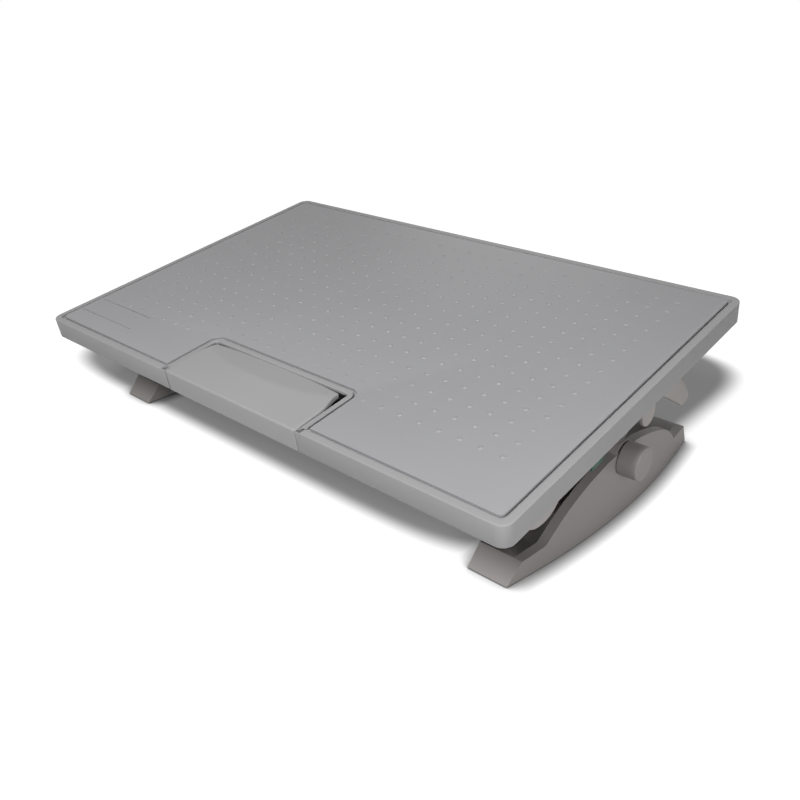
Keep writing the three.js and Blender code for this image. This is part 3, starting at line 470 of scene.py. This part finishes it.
# %% [markdown]
# A leg is an arch with a foot at each end. The foot is a hollow shell that hides all but the
# last millimetre of its rubber sole, so the wall of the copied leg is drawn down and the sole
# is drawn in behind it. The toes reach a little further out where they meet the floor. The
# rear foot is also a little taller than the front one, which lifts the arch's rear end. Moving
# the CAD mesh's own points keeps the arch, the ribs and the hub as they are.

# %% Legs and soles
foot_top, rear_lift, lift_start, lift_length = 17.0, 6, 60, 70
sole_top, sole_shown, sole_ease, foot_wall = 2.8, 1.0, 0.3, (2.2, 5.0)
toe_front, toe_rear, toe_growth = -100, 150, 1.6


def smooth_step(value):
    value = min(max(value, 0), 1)
    return value * value * (3 - 2 * value)


def leg_shape(label):
    shape = cad_copy(label + "leg")
    for vert in shape.verts:
        back = smooth_step((vert.co.y - lift_start) / lift_length)
        high = min(max((vert.co.z - sole_top) / (foot_top - sole_top), 0), 1)
        vert.co.z += rear_lift * back * high
        if vert.co.z < sole_top + 0.01:
            vert.co.z = sole_shown
            vert.co.y += toe_growth * ((vert.co.y > toe_rear) - (vert.co.y < toe_front))
    return shape


def sole_shape(label):
    shape = eased_copy(label + "sole", sole_ease)
    plate = [vert for vert in shape.verts if vert.co.z < sole_top + sole_ease]
    for axis, wall in enumerate(foot_wall):
        places = [vert.co[axis] for vert in plate]
        middle, half = (max(places) + min(places)) / 2, (max(places) - min(places)) / 2
        for vert in plate:
            vert.co[axis] = middle + (vert.co[axis] - middle) * (1 - wall / half)
    return shape


for _, label in sides:
    finish_piece(label + "leg", leg_shape(label), mm, "base", leg_plastic)
    finish_piece(label + "sole", sole_shape(label), mm, "base", rubber)

# %% [markdown]
# The deck's frame is one moulding: a flat rim with a soft outer edge, a skirt 19 mm deep, a
# recessed floor for the top plate, and a notch at the front for the pedal. It could be cut out
# of a block with booleans, but a moulder's order gives cleaner edges: draw the plan, give it
# height, round the corners, sink the hollow below, round the rim, then sink the recess.

# %% The deck's plan
half_width, front, rear = 280.0, -185.0, 172.0
deck_top, rim_top, skirt_bottom = 70.4, 69.8, 50.4
recess_depth, floor_underside = 2.5, 64.9
notch_half, notch_rear = 84.7, -125.0


def notched_plan(shape, inset, notch_x, notch_y, z):
    corners = [
        (-half_width + inset, front + inset), (-notch_x, front + inset),
        (-notch_x, notch_y), (notch_x, notch_y),
        (notch_x, front + inset), (half_width - inset, front + inset),
        (half_width - inset, rear - inset), (-half_width + inset, rear - inset),
    ]
    verts = [bmesh.ops.create_vert(shape, co=(x, y, z))["vert"][0] for x, y in corners]
    return shape.faces.new(verts)


def only_verts(geometry):
    return [item for item in geometry if isinstance(item, bmesh.types.BMVert)]


def extrude_by(shape, faces, vector):
    grown = bmesh.ops.extrude_face_region(shape, geom=faces)["geom"]
    bmesh.ops.translate(shape, verts=only_verts(grown), vec=vector)
    bmesh.ops.delete(shape, geom=faces, context="FACES_KEEP_BOUNDARY")


print("plan:", 2 * half_width, "by", rear - front, "mm")

# %% [markdown]
# A bevel needs to be told which edges it rounds. They could be picked by number, but a number
# changes with every edit, so they are found by where they lie: the uprights at the corners,
# and the sharp edges at one height.

# %% Pick edges and faces
def upright_edges(shape, test):
    return [
        edge for edge in shape.edges
        if abs(edge.verts[0].co.z - edge.verts[1].co.z) > 1
        and (edge.verts[0].co.xy - edge.verts[1].co.xy).length < 1e-4
        and test(*edge.verts[0].co.xy)
    ]


def mouth_edges(shape, notch_x):
    return upright_edges(shape, lambda x, y: abs(abs(x) - notch_x) < 0.01 and y < front + 20)


def edges_at(shape, z, corner_angle=0.6):
    return [
        edge for edge in shape.edges
        if all(abs(vert.co.z - z) < 1e-3 for vert in edge.verts)
        and is_sharp(edge, corner_angle)
    ]


def largest_face(shape, z):
    flat = [
        face for face in shape.faces
        if abs(face.calc_center_median().z - z) < 1e-3 and abs(face.normal.z) > 0.99
    ]
    return max(flat, key=lambda face: face.calc_area())


def notched_slab(inset, notch_x, notch_y, z0, z1, outer, inner):
    shape = bmesh.new()
    plan = notched_plan(shape, inset, notch_x, notch_y, z0)
    extrude_by(shape, [plan], (0, 0, z1 - z0))
    notched_plan(shape, inset, notch_x, notch_y, z0)
    bmesh.ops.remove_doubles(shape, verts=shape.verts, dist=0.001)
    bmesh.ops.recalc_face_normals(shape, faces=shape.faces)
    outer_corners = upright_edges(shape, lambda x, y: abs(x) > notch_x + 1)
    round_edges(shape, outer_corners, outer, 9)
    inner_corners = upright_edges(shape, lambda x, y: abs(y - notch_y) < 0.01)
    round_edges(shape, inner_corners, inner, 8)
    return shape


print("notch:", 2 * notch_half, "by", notch_rear - front, "mm")

# %% [markdown]
# The shell is the slab with two faces inset and sunk: the underside up to the floor, which
# leaves the skirt's wall, and the top down to the recess, which leaves the rim. The rim is a
# little narrower round the notch. Small radii follow where the recess and the skirt end.

# %% Deck frame: rim, recess and hollow
wall, rim_width, edge_radius = 3, 7.5, 1.7


def inset_face(shape, face, margin):
    bmesh.ops.inset_region(shape, faces=[face], thickness=margin, use_even_offset=True)


def narrow_notch_rim(face, change, reach=12, slack=4):
    for vert in face.verts:
        if abs(vert.co.x) > notch_half + reach or vert.co.y > notch_rear + reach:
            continue
        if abs(vert.co.x) > notch_half - slack:
            vert.co.x -= math.copysign(change, vert.co.x)
        if vert.co.y > notch_rear - slack:
            vert.co.y -= change


def deck_shell_shape():
    shape = notched_slab(0, notch_half, notch_rear, skirt_bottom, rim_top, outer=10, inner=3)
    under = largest_face(shape, skirt_bottom)
    inset_face(shape, under, wall)
    extrude_by(shape, [under], (0, 0, floor_underside - skirt_bottom))
    round_edges(shape, mouth_edges(shape, notch_half), 0.5, 2)
    round_edges(shape, edges_at(shape, rim_top), edge_radius, 5)
    top = largest_face(shape, rim_top)
    inset_face(shape, top, rim_width - edge_radius)
    narrow_notch_rim(top, 1.2)
    extrude_by(shape, [top], (0, 0, -recess_depth))
    round_edges(shape, edges_at(shape, rim_top), 0.35, 2)
    round_edges(shape, edges_at(shape, skirt_bottom), 0.5, 2)
    return shape


deck_shape = deck_shell_shape()
print("deck shell:", len(deck_shape.faces), "faces")

# %% [markdown]
# Under the floor there are thin ribs along and across, and a boss for each screw of the two
# guide brackets. Each starts as a small block or disc whose edges are rounded, sunk a little
# into the floor, as the ribs of a moulding run into its skin. The ribs stop short of the
# brackets.

# %% Ribs and bosses under the floor
def add_block(shape, low, high, ease, segments=2):
    size = [b - a for a, b in zip(low, high)]
    middle = [(a + b) / 2 for a, b in zip(low, high)]
    place = Matrix.Translation(middle) @ Matrix.Diagonal((*size, 1))
    verts = bmesh.ops.create_cube(shape, size=1, matrix=place)["verts"]
    edges = list({edge for vert in verts for edge in vert.link_edges})
    round_edges(shape, edges, ease, segments)


def add_rod(shape, radius, start, end):
    start, end = Vector(start), Vector(end)
    turn = (end - start).to_track_quat("Z", "Y").to_matrix().to_4x4()
    made = bmesh.ops.create_cone(
        shape, cap_ends=True, segments=32, radius1=radius, radius2=radius,
        depth=(end - start).length, matrix=Matrix.Translation((start + end) / 2) @ turn,
    )["verts"]
    caps = {face for vert in made for face in vert.link_faces if len(face.verts) > 4}
    rims = list({edge for face in caps for edge in face.edges})
    round_edges(shape, rims, 0.4, 2)


bracket_half, bracket_inner, bracket_outer = 56.0, 170.0, 206.0
screw_places = [
    (side * x, y)
    for side in (1, -1) for x in (bracket_inner + 5, bracket_outer - 5) for y in (-51.0, 51.0)
]
rib_half, rib_margin, rib_gap, rib_reach = 1, 1.5, 3, 251.4
rib_top = floor_underside + 0.6
long_rib_foot, cross_rib_foot = floor_underside - 8, floor_underside - 7


def add_long_rib(shape, x):
    start = (front if abs(x) > notch_half else notch_rear) + rib_margin
    end = rear - rib_margin
    spans = [(start, end)]
    if bracket_inner - rib_gap < abs(x) < bracket_outer + rib_gap:
        spans = [(start, -bracket_half - rib_gap), (bracket_half + rib_gap, end)]
    for y0, y1 in spans:
        low, high = (x - rib_half, y0, long_rib_foot), (x + rib_half, y1, rib_top)
        add_block(shape, low, high, 0.4)


def add_cross_rib(shape, y):
    spans = [(-rib_reach, rib_reach)]
    if abs(y) < bracket_half:
        inner, outer = bracket_inner - rib_gap, bracket_outer + rib_gap
        spans = [(-rib_reach, -outer), (-inner, inner), (outer, rib_reach)]
    for x0, x1 in spans:
        low, high = (x0, y - rib_half, cross_rib_foot), (x1, y + rib_half, rib_top)
        add_block(shape, low, high, 0.4)


for share in (-0.61, -0.36, 0, 0.36, 0.61):
    add_long_rib(deck_shape, share * half_width)
for share in (0.28, 0.5, 0.84):
    add_cross_rib(deck_shape, front + share * (rear - front))
for x, y in screw_places:
    add_rod(deck_shape, 4.5, (x, y, floor_underside - 6), (x, y, rib_top))
finish_piece("deck_frame", deck_shape, deck_space, "deck", deck_plastic)

# %% [markdown]
# A green tab hangs on each side rail. It shows just below the skirt and tells how high the
# deck stands. Its green is darkened past its own colour: painted shade, for the shade under the
# skirt. It is a thin plate with a small lip along its front edge, and its edges are rounded.
# The lip starts a hundredth of a millimetre off the plate's inner face, because two faces in
# one plane flicker.

# %% Height marks
tab_faces, tab_foot, tab_top = (268.72, 270.2), 31, 59.3
lip_faces, lip_foot, lip_top = (268.73, 271.7), 37, 50
tab_front, tab_rear, lip_rear = -64, -47, -62
for side, label in sides:
    mark = bmesh.new()
    x0, x1 = sorted(side * x for x in tab_faces)
    add_block(mark, (x0, tab_front, tab_foot), (x1, tab_rear, tab_top), 0.5)
    x0, x1 = sorted(side * x for x in lip_faces)
    add_block(mark, (x0, tab_front, lip_foot), (x1, lip_rear, lip_top), 0.5)
    finish_piece(
        label + "height_mark", mark, deck_space, "deck", mark_green_with_painted_shade,
    )

# %% [markdown]
# The top plate lies in the recess with a thin groove all round, and stands 0.6 mm proud of the
# rim, which hides most of the far grooves from the camera. It carries a grid of small domed
# pips that grip a shoe's sole, and two fine engraved lines at the front left. The lines are
# cut by splitting the top face with planes and sinking the two strips, then the extra splits
# are dissolved again.

# %% Top plate
plate_inset, plate_underside = 8.9, 67.7
mouth_half, mouth_rear = 92.4, -117.3
line_left, line_right, line_places = -267.0, -182.0, (-156.0, -131.7)


def engrave_lines(shape, x0, x1, middles, width, depth):
    planes = [((x, 0, 0), (1, 0, 0)) for x in (x0, x1)]
    for middle in middles:
        planes += [((0, middle + side * width / 2, 0), (0, 1, 0)) for side in (-1, 1)]
    for point, normal in planes:
        top = [face for face in shape.faces if face.normal.z > 0.99]
        around = list({item for face in top for item in (*face.verts, *face.edges)})
        bmesh.ops.bisect_plane(
            shape, geom=around + top, plane_co=point, plane_no=normal, dist=1e-4,
        )
    for middle in middles:
        strips = [
            face for face in shape.faces
            if face.normal.z > 0.99 and x0 < face.calc_center_median().x < x1
            and abs(face.calc_center_median().y - middle) < width / 2
        ]
        extrude_by(shape, strips, (0, 0, -depth))
    join_flat_faces(shape)


def plate_shape():
    shape = notched_slab(
        plate_inset, mouth_half, mouth_rear, plate_underside, deck_top, outer=5, inner=10.7,
    )
    round_edges(shape, mouth_edges(shape, mouth_half), 1, 3)
    round_edges(shape, edges_at(shape, deck_top), 0.4, 3)
    engrave_lines(shape, line_left, line_right, line_places, width=1.3, depth=0.8)
    return shape


plate = plate_shape()
print("top plate:", len(plate.faces), "faces")

# %% [markdown]
# The pips stand on a grid that leaves the border free and goes round the pedal's notch. Each
# is a short cone with a rounded rim. They are lower towards the border, so the field fades
# out. Bump in the material could fake them, but real pips catch the light and cast shadows.

# %% Pips on the top plate
middle_x, column_step, field_half = 5.4, 19.2, 247.5
first_y, row_step, field_rear = -125.3, 18.8, 139.5
clear_x, clear_y = 100.6, -114
border, notch_zone, faint_height, fade_length = 9, 40, 0.35, 110


def pip_places():
    places = []
    for column in range(-14, 15):
        x = middle_x + column_step * column
        for row in range(20):
            y = first_y + row_step * row
            clear_of_notch = abs(x) > clear_x or y > clear_y
            if abs(x) < field_half and y < field_rear and clear_of_notch:
                places.append((x, y))
    return places


def pip_height(x, y):
    to_border = min(half_width - border - abs(x), rear - border - y, y - front - border)
    if abs(x) < notch_half + notch_zone:
        to_border = min(to_border, max(abs(x) - mouth_half, y - mouth_rear))
    return min(1, faint_height + to_border / fade_length)


def add_pips(shape, places):
    pips = bmesh.new()
    bmesh.ops.create_cone(
        pips, cap_ends=True, segments=12, radius1=2.6, radius2=1.6, depth=1.2,
    )
    rim = [edge for edge in pips.edges if all(vert.co.z > 0.5 for vert in edge.verts)]
    round_edges(pips, rim, 0.6, 2)
    first = [*pips.verts, *pips.edges, *pips.faces]
    for x, y in places:
        height = pip_height(x, y)
        verts = only_verts(bmesh.ops.duplicate(pips, geom=first)["geom"])
        bmesh.ops.scale(pips, verts=verts, vec=(1, 1, height))
        bmesh.ops.translate(pips, verts=verts, vec=(x, y, deck_top + 0.3 * height))
    bmesh.ops.delete(pips, geom=only_verts(first), context="VERTS")
    loose = bpy.data.meshes.new("pips")
    pips.to_mesh(loose)
    pips.free()
    shape.from_mesh(loose)
    bpy.data.meshes.remove(loose)
    print("pips:", len(places))


add_pips(plate, pip_places())
finish_piece("top_panel", plate, deck_space, "deck", panel_plastic)

# %% [markdown]
# The pedal is a shallow shell hung on a rod. Its top rises a little from the front edge, where
# the toe presses, to a crest that bows back towards the sides, and falls away gently behind
# it. The rear corners are drawn in and forward. A grid is bent to that form, its border is
# drawn down as front and cheeks, and the sheet gets its 3 mm wall. A block with bevels would
# be quicker, but its top would stay flat.

# %% Pedal: the pressed surface
pedal_half, pedal_rear, pedal_drop = 83.9, -125.7, 0.1
crest_y, crest_bow, crest_rise, side_loss = -151.0, 17.0, 3.5, 1.5
rear_fall, corner_half, corner_forward, bow_power = 0.14, 78.5, 3.8, 2.5
hinge_y, hinge_z = -132.0, 59.9
cheek_rise, cheek_rear_rise, cheek_rear_length = 4.5, 9.5, 5


def pedal_surface(across, back):
    y = front + back * (pedal_rear - front)
    outward = abs(across)
    crest = crest_y + crest_bow * outward ** bow_power
    rise = min((y - front) / (crest - front), 1)
    behind = max(y - crest, 0)
    taper = smooth_step(2 * back - 1)
    x = across * (pedal_half + (corner_half - pedal_half) * taper)
    z = deck_top - pedal_drop + rise * (crest_rise - side_loss * outward ** 2)
    z -= rear_fall * behind
    y -= corner_forward * back ** 2 * outward ** bow_power
    return Vector((x, y, z))


def cheek_bottom(y):
    if y < hinge_y:
        return skirt_bottom + (y - front) / (hinge_y - front) * cheek_rise
    rear_share = smooth_step((y - hinge_y) / cheek_rear_length)
    return skirt_bottom + cheek_rise + rear_share * cheek_rear_rise


def upward_area(shape):
    return sum(face.normal.z * face.calc_area() for face in shape.faces)


def pedal_shape():
    shape = bmesh.new()
    bmesh.ops.create_grid(shape, x_segments=64, y_segments=28, size=1)
    for vert in shape.verts:
        vert.co = pedal_surface(vert.co.x, (vert.co.y + 1) / 2)
    border_edges = [edge for edge in shape.edges if edge.is_boundary]
    drawn = bmesh.ops.extrude_edge_only(shape, edges=border_edges)["geom"]
    for vert in only_verts(drawn):
        at_front = vert.co.y < front + 0.01
        vert.co.z = skirt_bottom if at_front else cheek_bottom(vert.co.y)
    bmesh.ops.recalc_face_normals(shape, faces=shape.faces)
    if upward_area(shape) < 0:
        bmesh.ops.reverse_faces(shape, faces=shape.faces)
    corners = [edge for edge in shape.edges if is_sharp(edge, math.radians(50))]
    round_edges(shape, corners, 1.6, 4)
    bmesh.ops.solidify(shape, geom=shape.faces, thickness=3)
    return shape


pedal = pedal_shape()
print("pedal shell:", len(pedal.faces), "faces")

# %% [markdown]
# Two cranks hang under the pedal and turn with it about the hinge rod. The pin at the foot of
# each one moves the brake's push rod. A block, a disc and a pin are enough, because they are
# hidden under the deck.

# %% Pedal: cranks and pins
crank_faces, pin_ends, crank_length = (49.0, 55.0), (52.0, 63.5), 30
pin_z = hinge_z - crank_length


def add_crank(shape, side):
    x0, x1 = sorted(side * x for x in crank_faces)
    low, high = (x0, hinge_y - 5, pin_z), (x1, hinge_y + 2.5, deck_top - 2)
    add_block(shape, low, high, 1, 3)
    add_rod(shape, 5, (x0 + 0.01, hinge_y, pin_z), (x1 - 0.01, hinge_y, pin_z))
    start, end = [(side * x, hinge_y, pin_z) for x in pin_ends]
    add_rod(shape, 2.5, start, end)


for side, _ in sides:
    add_crank(pedal, side)
finish_piece("pedal", pedal, deck_space, "pedal_body", deck_plastic)

# %% [markdown]
# Round parts are turned: half an outline is spun about the X axis, as on a lathe. The knob has
# a flat face with a rounded edge and is hollow behind, round a boss for its stud.

# %% Turned pieces
def turned(outline, steps=64):
    shape = bmesh.new()
    verts = [bmesh.ops.create_vert(shape, co=(x, 0, r))["vert"][0] for x, r in outline]
    edges = [shape.edges.new((a, b)) for a, b in zip(verts, verts[1:])]
    bmesh.ops.spin(
        shape, geom=verts + edges, cent=(0, 0, 0), axis=(1, 0, 0), dvec=(0, 0, 0),
        angle=2 * math.pi, steps=steps, use_merge=True, use_duplicate=False,
    )
    bmesh.ops.remove_doubles(shape, verts=shape.verts, dist=0.001)
    return shape


def mirrored(outline, side):
    return [(side * x, radius) for x, radius in outline]


knob_inner, knob_end = 263.2, 280.9
knob_outline = [
    (knob_inner, 3.5), (knob_inner + 12.3, 3.5), (knob_inner + 12.3, 0), (knob_end - 0.3, 0),
    (knob_end - 0.3, 9.5), (knob_end, 10.2), (knob_end, 13.2), (knob_end - 0.12, 13.8),
    (knob_end - 0.45, 14.25), (knob_end - 0.95, 14.55), (knob_end - 1.6, 14.6),
    (knob_inner + 0.4, 14.6), (knob_inner, 14.2), (knob_inner, 12.2), (knob_inner + 0.3, 12),
    (knob_inner + 11, 12), (knob_inner + 11, 6), (knob_inner, 6), (knob_inner, 3.5),
]
for side, label in sides:
    finish_piece(
        label + "knob", turned(mirrored(knob_outline, side)), axle_space,
        label + "knob_body", leg_plastic,
    )

# %% [markdown]
# The parts on the tilt axis are turned in the same way: the cross shaft is a tube with
# chamfered ends, the bushes have a flange, and the studs are cut with a thread. The thread is
# drawn as plain rings, because a screw thread this small looks the same.

# %% Shaft, bushes, washers and studs
def chamfered_tube(x0, x1, bore, radius, chamfer):
    return [
        (x0, bore), (x1, bore), (x1, radius - chamfer), (x1 - chamfer, radius),
        (x0 + chamfer, radius), (x0, radius - chamfer), (x0, bore),
    ]


def threaded_rod(x0, x1, radius, pitch, depth):
    outline = [(x0, 0), (x0, radius - depth)]
    x = x0 + pitch / 2
    while x < x1 - pitch:
        outline += [(x, radius), (x + pitch / 2, radius - depth)]
        x += pitch
    return outline + [(x1, radius - depth), (x1, 0)]


shaft_outline = chamfered_tube(-254, 254, 3.6, 8, 0.6)
finish_piece("cross_shaft", turned(shaft_outline), axle_space, "base", steel)
bush_outline = [
    (186, 8.3), (210, 8.3), (210, 9.6), (209.6, 10), (187.2, 10), (187.2, 12.2),
    (186.9, 12.5), (186.3, 12.5), (186, 12.2), (186, 8.3),
]
washer_outline = chamfered_tube(210.3, 211.7, 8.3, 14, 0.25)
stud_outline = threaded_rod(240, 275.2, 3.2, 1, 0.4)
for side, label in sides:
    finish_piece(
        label + "hub_bush", turned(mirrored(bush_outline, side)), deck_space,
        "carriage", acetal,
    )
    finish_piece(
        label + "friction_washer", turned(mirrored(washer_outline, side)), deck_space,
        "carriage", acetal,
    )
    finish_piece(
        label + "knob_stud", turned(mirrored(stud_outline, side), 24), axle_space,
        label + "knob_body", steel,
    )

# %% [markdown]
# Two plain rods cross under the deck: the pedal's hinge rod and the brake bar. Both are cut
# from bright drawn steel, with a small chamfer at each end. The carriage's beam is a square
# tube between the two sliders, and its CAD form only needs its edges eased.

# %% Hinge rod, brake bar and beam
rod_radius, rod_chamfer, bar_y = 2.5, 0.4, -23.7


def crossing_rod(half_length, y, z):
    shape = turned([
        (-half_length, 0), (-half_length, rod_radius - rod_chamfer),
        (rod_chamfer - half_length, rod_radius), (half_length - rod_chamfer, rod_radius),
        (half_length, rod_radius - rod_chamfer), (half_length, 0),
    ], 32)
    bmesh.ops.translate(shape, verts=shape.verts, vec=(0, y, z))
    return shape


hinge_rod, brake_bar = crossing_rod(87.7, hinge_y, hinge_z), crossing_rod(191, bar_y, pin_z)
finish_piece("pedal_hinge_rod", hinge_rod, deck_space, "deck", steel)
finish_piece("brake_bar", brake_bar, deck_space, "brake", steel)
beam = eased_copy("carriage_beam", 0.5)
finish_piece("carriage_beam", beam, mm, "carriage", steel)

# %% [markdown]
# A torsion spring is one wire: a straight tail, a coil round the hinge rod, and a straight leg
# under the pedal. A small circle is spun round the X axis while it moves along it, which makes
# the coil, and its two ends are then drawn out straight.

# %% Torsion springs
spring_leg, spring_tail = (0, -16, 0.7), (0, 0, -8)


def draw_out(shape, ring, vector):
    drawn = bmesh.ops.extrude_edge_only(shape, edges=ring)["geom"]
    bmesh.ops.translate(shape, verts=only_verts(drawn), vec=vector)


def torsion_spring(x):
    coil, wire, turns, pitch = 4.6, 0.7, 4.25, 1.9
    steps = 32 * turns
    shape = bmesh.new()
    start = Matrix.Translation((-pitch * turns / 2, coil, 0))
    bmesh.ops.create_circle(shape, cap_ends=False, segments=10, radius=wire, matrix=start)
    first = list(shape.edges)
    spun = bmesh.ops.spin(
        shape, geom=list(shape.verts) + first, cent=(0, 0, 0), axis=(1, 0, 0),
        dvec=(pitch * turns / steps, 0, 0), angle=2 * math.pi * turns, steps=int(steps),
        use_merge=False, use_duplicate=False,
    )
    last = [item for item in spun["geom_last"] if isinstance(item, bmesh.types.BMEdge)]
    draw_out(shape, last, spring_leg)
    draw_out(shape, first, spring_tail)
    bmesh.ops.holes_fill(shape, edges=[edge for edge in shape.edges if edge.is_boundary])
    bmesh.ops.translate(shape, verts=shape.verts, vec=(x, hinge_y, hinge_z))
    return shape


for side, label in sides:
    finish_piece(
        label + "pedal_spring", torsion_spring(side * 65.0), deck_space,
        "deck", steel, sharp=60,
    )

# %% [markdown]
# The guide brackets hang on eight pan-head screws. The head is turned with a soft dome, and
# its flat middle is drawn in to a cross and sunk, as a driver's recess is punched.

# %% Bracket screws
screw_outline = [
    (0, 0), (0, 2.3), (0.35, 2.9), (0.9, 3.3), (1.6, 3.4), (2, 3.2), (2, 1.6),
    (10.6, 1.6), (11.3, 0.9), (11.3, 0),
]
head_z, arm_reach, corner_reach, cross_depth = 53.3, 1.7, 0.62, 1.1


def pan_screw(x, y):
    shape = turned(screw_outline, 24)
    end = [face for face in shape.faces if face.calc_center_median().x < 0.01]
    flat = bmesh.ops.dissolve_faces(shape, faces=end)["region"]
    bmesh.ops.inset_region(shape, faces=flat, thickness=0.5)
    for vert in flat[0].verts:
        angle = math.atan2(vert.co.z, vert.co.y)
        reach = arm_reach if abs(math.cos(2 * angle)) > 0.9 else corner_reach
        vert.co.y, vert.co.z = reach * math.cos(angle), reach * math.sin(angle)
    extrude_by(shape, flat, (cross_depth, 0, 0))
    upright = Matrix.Rotation(-math.pi / 2, 4, "Y")
    shape.transform(Matrix.Translation((x, y, head_z)) @ upright)
    return shape


for number, (x, y) in enumerate(screw_places):
    label = "right_" if x > 0 else "left_"
    finish_piece(
        label + "bracket_screw_" + str(number % 4 + 1), pan_screw(x, y),
        deck_space, "deck", steel,
    )
